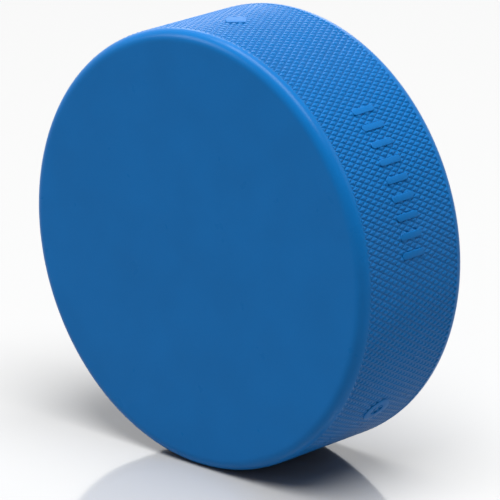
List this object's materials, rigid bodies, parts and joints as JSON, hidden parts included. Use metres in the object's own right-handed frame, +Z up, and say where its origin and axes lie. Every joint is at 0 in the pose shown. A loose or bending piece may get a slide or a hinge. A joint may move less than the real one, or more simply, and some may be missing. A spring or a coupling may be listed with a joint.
{
  "type": "hockey puck",
  "caption": "Blue rubber disc for ice hockey practice, with flat faces, rounded rims, a diamond-knurled edge and low raised marks on it.",
  "frame": {"origin": "where the round edge touches the ground, at the middle of the thickness", "axes": "+Z up with the puck standing on its edge, +Y along its axis from the front face to the back face, +X to the right seen from the front"},
  "size_m": [0.0762, 0.0254, 0.0764],
  "materials": {
    "moulded_rubber": "satin, coloured right through"
  },
  "bodies": {
    "root": {"puck_body": "moulded_rubber", "edge_bar_row": "moulded_rubber", "edge_ring_stud": "moulded_rubber", "edge_lozenge_stud": "moulded_rubber"}
  },
  "joints": []
}
